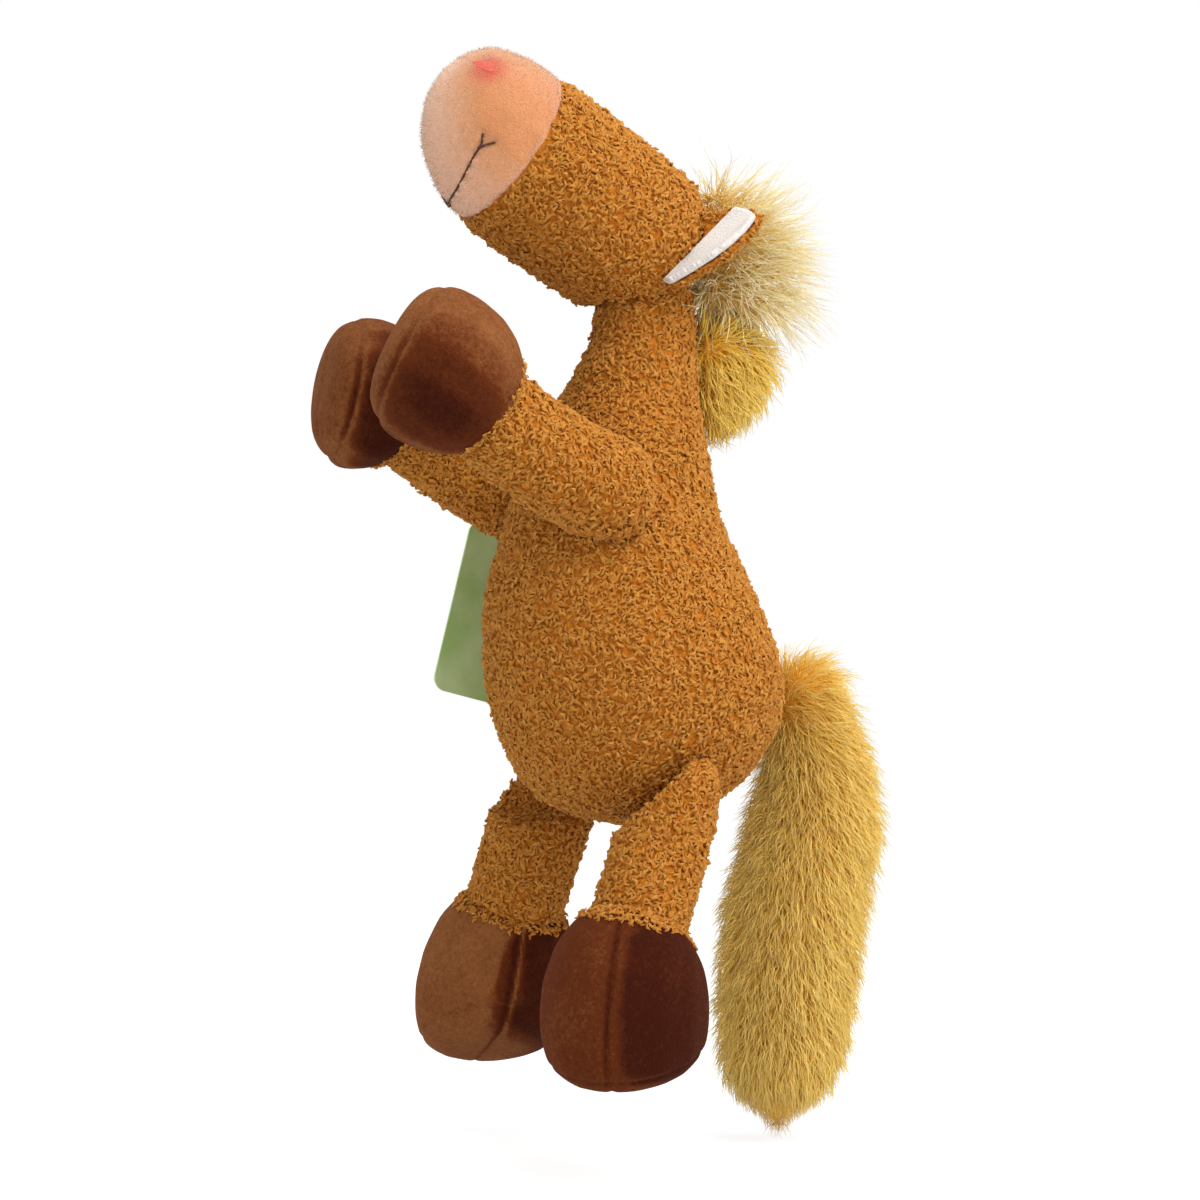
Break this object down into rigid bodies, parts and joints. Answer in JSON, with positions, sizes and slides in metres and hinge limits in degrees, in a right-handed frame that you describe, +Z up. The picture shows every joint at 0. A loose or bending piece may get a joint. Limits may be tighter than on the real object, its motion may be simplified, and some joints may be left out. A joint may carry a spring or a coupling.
{
  "type": "plush horse",
  "caption": "Plush horse with a curly ochre fleece body, brown velour hooves, a peach muzzle, and a long-pile yellow mane and tail.",
  "frame": {"origin": "centre of the horse's footprint box, level with the tip of its tail, as it is held upright", "axes": "+Z up from the tail's tip to the muzzle, the horse faces -Y, +X towards its left side"},
  "size_m": [0.1391, 0.167, 0.3082],
  "materials": {
    "curly_fleece": "curly bouclé pile",
    "peach_velour": "short matt pile",
    "brown_velour": "short matt pile",
    "yellow_pile": "long soft pile",
    "white_lining": "short soft pile",
    "stuffing": "loose polyester fibre",
    "pellets": "pellets in a cloth bag",
    "eye_bead": "polished",
    "pink_thread": "satin stitch",
    "brown_thread": "outline stitch",
    "green_card": "coated card",
    "nylon": "clear nylon"
  },
  "bodies": {
    "torso": {"torso_skin": "curly_fleece", "torso_stuffing": "stuffing", "torso_pellet_bag": "pellets", "neck_mane": "yellow_pile", "tag_fastener": "nylon"},
    "head": {"head_skin": "curly_fleece", "muzzle_skin": "peach_velour", "head_stuffing": "stuffing", "left_eye": "eye_bead", "right_eye": "eye_bead", "left_nostril_stitching": "pink_thread", "right_nostril_stitching": "pink_thread", "mouth_stitching": "brown_thread", "head_mane": "yellow_pile"},
    "tail": {"tail_skin": "yellow_pile", "tail_stuffing": "stuffing"},
    "tag": {"hang_tag": "green_card"},
    "left_ear": {"left_ear_shell": "curly_fleece", "left_ear_lining": "white_lining"},
    "left_arm": {"left_arm_skin": "curly_fleece", "left_arm_stuffing": "stuffing", "left_front_hoof_outer_panel": "brown_velour", "left_front_hoof_inner_panel": "brown_velour", "left_front_hoof_sole": "brown_velour"},
    "left_leg": {"left_leg_skin": "curly_fleece", "left_leg_stuffing": "stuffing", "left_rear_hoof_outer_panel": "brown_velour", "left_rear_hoof_inner_panel": "brown_velour", "left_rear_hoof_sole": "brown_velour", "left_rear_hoof_pellet_bag": "pellets"},
    "right_ear": {"right_ear_shell": "curly_fleece", "right_ear_lining": "white_lining"},
    "right_arm": {"right_arm_skin": "curly_fleece", "right_arm_stuffing": "stuffing", "right_front_hoof_outer_panel": "brown_velour", "right_front_hoof_inner_panel": "brown_velour", "right_front_hoof_sole": "brown_velour"},
    "right_leg": {"right_leg_skin": "curly_fleece", "right_leg_stuffing": "stuffing", "right_rear_hoof_outer_panel": "brown_velour", "right_rear_hoof_inner_panel": "brown_velour", "right_rear_hoof_sole": "brown_velour", "right_rear_hoof_pellet_bag": "pellets"}
  },
  "joints": [
    {"name": "head_nod", "type": "hinge", "parent": "torso", "child": "head", "pos_m": [0, 0.01034, 0.239], "axis": [1, 0, 0], "range_deg": [-8, 25]},
    {"name": "left_ear_flop", "type": "hinge", "parent": "head", "child": "left_ear", "pos_m": [0.01664, 0.0093, 0.24188], "axis": [0.9621, -0.0671, -0.2644], "range_deg": [-40, 0]},
    {"name": "left_arm_swing", "type": "hinge", "parent": "torso", "child": "left_arm", "pos_m": [0.03379, 0.00121, 0.1685], "axis": [-0.2743, 0.0107, 0.9616], "range_deg": [0, 75]},
    {"name": "left_leg_swing", "type": "hinge", "parent": "torso", "child": "left_leg", "pos_m": [0.031, 0.00513, 0.1034], "axis": [-0.891, -0.454, 0.0025], "range_deg": [-20, 60]},
    {"name": "right_ear_flop", "type": "hinge", "parent": "head", "child": "right_ear", "pos_m": [-0.01664, 0.0093, 0.24188], "axis": [0.9621, 0.0671, 0.2644], "range_deg": [-40, 0]},
    {"name": "right_arm_swing", "type": "hinge", "parent": "torso", "child": "right_arm", "pos_m": [-0.03379, 0.00121, 0.1685], "axis": [-0.2743, -0.0107, -0.9616], "range_deg": [0, 75]},
    {"name": "right_leg_swing", "type": "hinge", "parent": "torso", "child": "right_leg", "pos_m": [-0.031, 0.00513, 0.1034], "axis": [-0.891, 0.454, -0.0025], "range_deg": [-20, 60]},
    {"name": "tail_wag", "type": "hinge", "parent": "torso", "child": "tail", "pos_m": [0, 0.0486, 0.1244], "axis": [0, 1, 0], "range_deg": [-45, 45]},
    {"name": "tag_swing", "type": "hinge", "parent": "torso", "child": "tag", "pos_m": [-0.0482, -0.00122, 0.1688], "axis": [1, 0, 0], "range_deg": [-10, 40]}
  ]
}
